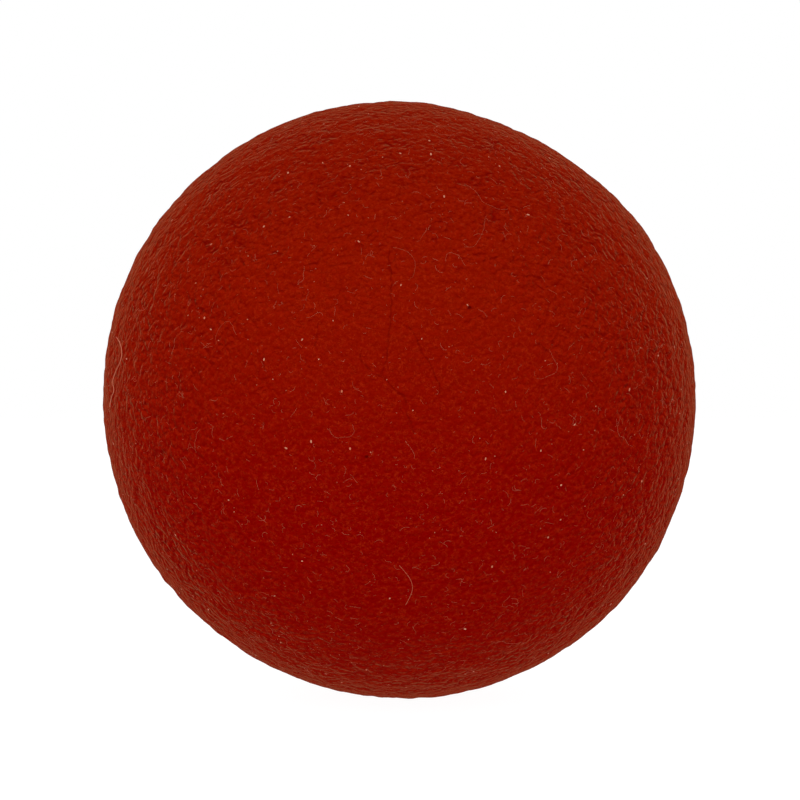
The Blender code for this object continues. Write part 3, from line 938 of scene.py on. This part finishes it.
# %% [markdown]
# ## Bladder and patch
#
# The bladder is butyl rubber, dipped and then dusted with talc, so its near-black is veiled in soft
# grey clouds. The patch that holds the valve is a cut disc of calendered rubber with a fine fabric mark
# pressed into it. Both designed solids already have the right shape, so each only gets a material.

# %% Bladder material
CLOUD_PITCH = 14 * MM  # how far apart the talc lies thick
POWDER_PITCH = 0.4 * MM  # talc is finer, and is drawn as coarse as shows

butyl, tree, shader = new_material("butyl rubber, dipped and talced")
here = add(tree, "ShaderNodeTexCoord", None, "Object")
cloud = add(tree, "ShaderNodeTexNoise",
            {"Vector": here, "Scale": 1 / CLOUD_PITCH, "Detail": 5.0, "Roughness": 0.6})
talc = add(tree, "ShaderNodeMapRange", {0: cloud, 1: 0.4, 2: 0.7, 3: 0.05, 4: 0.45})
powder = add(tree, "ShaderNodeTexNoise", {"Vector": here, "Scale": 1 / POWDER_PITCH, "Detail": 2.0})
talc = add(tree, "ShaderNodeMath", {0: talc, 1: powder}, operation="MULTIPLY")
colour = add(tree, "ShaderNodeMix", {0: talc, 6: linear("#1c1b1b"), 7: linear("#b9b6ae")}, 2,
             data_type="RGBA")
tree.links.new(colour, shader.inputs["Base Color"])
rough = add(tree, "ShaderNodeMapRange", {0: talc, 1: 0.0, 2: 0.3, 3: 0.42, 4: 0.85})
tree.links.new(rough, shader.inputs["Roughness"])
bump = add(tree, "ShaderNodeBump", {"Strength": 0.4, "Distance": 0.3 * MM, "Height": cloud})
tree.links.new(bump, shader.inputs["Normal"])
shader.inputs["IOR"].default_value = 1.51
bladder_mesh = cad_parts["bladder"].data
bladder_mesh.materials.clear()
bladder_mesh.materials.append(butyl)

# %% Patch material
MARK_PITCH = 0.9 * MM  # the fabric's threads
patch_rubber, tree, shader = new_material("calendered patch rubber with a fabric mark")
here = add(tree, "ShaderNodeTexCoord", None, "Object")
warp = add(tree, "ShaderNodeTexWave",
           {"Vector": here, "Scale": math.pi / (10 * MARK_PITCH), "Distortion": 0.3}, bands_direction="X")
weft = add(tree, "ShaderNodeTexWave",
           {"Vector": here, "Scale": math.pi / (10 * MARK_PITCH), "Distortion": 0.3}, bands_direction="Z")
mark = add(tree, "ShaderNodeMath", {0: warp, 1: weft}, operation="MULTIPLY")
worn = add(tree, "ShaderNodeTexNoise", {"Vector": here, "Scale": 1 / (3 * MM), "Detail": 3.0})
worn = add(tree, "ShaderNodeMath", {0: mark, 1: worn}, operation="MULTIPLY")
colour = add(tree, "ShaderNodeMix", {0: worn, 6: linear("#292827"), 7: linear("#4b4844")}, 2,
             data_type="RGBA")
tree.links.new(colour, shader.inputs["Base Color"])
bump = add(tree, "ShaderNodeBump", {"Strength": 0.6, "Distance": 0.08 * MM, "Height": mark})
tree.links.new(bump, shader.inputs["Normal"])
shader.inputs["Roughness"].default_value = 0.62
shader.inputs["IOR"].default_value = 1.52
patch_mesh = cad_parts["valve_patch"].data
patch_mesh.materials.clear()
patch_mesh.materials.append(patch_rubber)

# %% [markdown]
# ## The valve
#
# Only the end of the valve shows, as a black ring in the cover's hole with a pale plug in it. Moulded
# rubber has no sharp edges, so each designed part is copied, its loose triangles are merged, and a
# small bevel rounds its rims. A bevel modifier finds the rims by their angle, which saves picking them
# by hand.

# %% Round the valve's rims
RIM_ROUND = 0.16 * MM
RIM_ANGLE = 35  # degrees; flatter edges are the turning's own facets
RIM_STEPS = 3


def softened(name, node):
    """A copy of a designed part with merged corners and rounded rims."""
    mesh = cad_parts[node].data.copy()
    mesh.name = name
    piece = bpy.data.objects.new(name, mesh)
    bpy.context.scene.collection.objects.link(piece)
    shape = bmesh.new()
    shape.from_mesh(mesh)
    bmesh.ops.remove_doubles(shape, verts=shape.verts, dist=TOUCH)
    bmesh.ops.dissolve_limit(shape, angle_limit=math.radians(0.5), verts=shape.verts, edges=shape.edges)
    shape.to_mesh(mesh)
    shape.free()
    bevel = piece.modifiers.new("rims", "BEVEL")
    bevel.width = RIM_ROUND
    bevel.segments = RIM_STEPS
    bevel.limit_method = "ANGLE"
    bevel.angle_limit = math.radians(RIM_ANGLE)
    bevel.use_clamp_overlap = True
    seen = piece.evaluated_get(bpy.context.evaluated_depsgraph_get())
    rounded = bpy.data.meshes.new_from_object(seen)
    piece.modifiers.remove(bevel)
    piece.data = rounded
    rounded.name = name
    rounded.shade_smooth()
    rounded.set_sharp_from_angle(angle=math.radians(SHARP_ANGLE))
    print(f"{name}: {len(rounded.vertices)} points")
    return piece


# %% [markdown]
# Carbon-black rubber has a faint satin shine and moulding grain. The plug is translucent natural
# rubber: it scatters light a little, so it is never quite as dark in its needle hole as a pigment would
# be. Dirt gathers in both.

# %% Valve materials
STAIN_PITCH = 1.8 * MM
MOULDING_PITCH = 0.15 * MM  # the spark-eroded grain of the mould

for name, node, slot, finish_name, colours, roughness, glow in (
    ("valve_ring", "valve_housing", "valve_rubber", "carbon-black rubber, moulded",
     ("#1d1c1c", "#343231"), 0.5, 0.0),
    ("valve_plug", "valve_core", "core_rubber", "natural gum rubber, translucent",
     ("#6e5a3e", "#92795a"), 0.45, 0.2),
):
    finish, tree, shader = new_material(finish_name)
    here = add(tree, "ShaderNodeTexCoord", None, "Object")
    stain = add(tree, "ShaderNodeTexNoise", {"Vector": here, "Scale": 1 / STAIN_PITCH, "Detail": 4.0})
    stain = add(tree, "ShaderNodeMapRange", {0: stain, 1: 0.35, 2: 0.65, 3: 0.0, 4: 1.0})
    colour = add(tree, "ShaderNodeMix", {0: stain, 6: linear(colours[0]), 7: linear(colours[1])}, 2,
                 data_type="RGBA")
    tree.links.new(colour, shader.inputs["Base Color"])
    moulding = add(tree, "ShaderNodeTexNoise", {"Vector": here, "Scale": 1 / MOULDING_PITCH, "Detail": 2.0})
    bump = add(tree, "ShaderNodeBump", {"Strength": 0.5, "Distance": 0.04 * MM, "Height": moulding})
    tree.links.new(bump, shader.inputs["Normal"])
    shader.inputs["Roughness"].default_value = roughness
    shader.inputs["IOR"].default_value = 1.52
    shader.inputs["Subsurface Weight"].default_value = glow
    shader.inputs["Subsurface Scale"].default_value = 0.5 * MM
    piece = softened(name, node)
    piece.data.materials.clear()
    piece.data.materials.append(finish)
    for polygon in piece.data.polygons:
        polygon.material_index = 0
    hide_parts(node)
    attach(piece, "root")

# %% [markdown]
# ## Finish
#
# The finished pieces have to fill the same space as the designed ones. Both boxes are printed, in
# millimetres, so that they can be compared.

# %% Compare the boxes and finish
finished_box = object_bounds()
for axis, name in enumerate("xyz"):
    designed = f"{designed_box[0][axis] / MM:.2f} to {designed_box[1][axis] / MM:.2f}"
    finished = f"{finished_box[0][axis] / MM:.2f} to {finished_box[1][axis] / MM:.2f}"
    print(f"{name}: designed {designed} mm, finished {finished} mm")
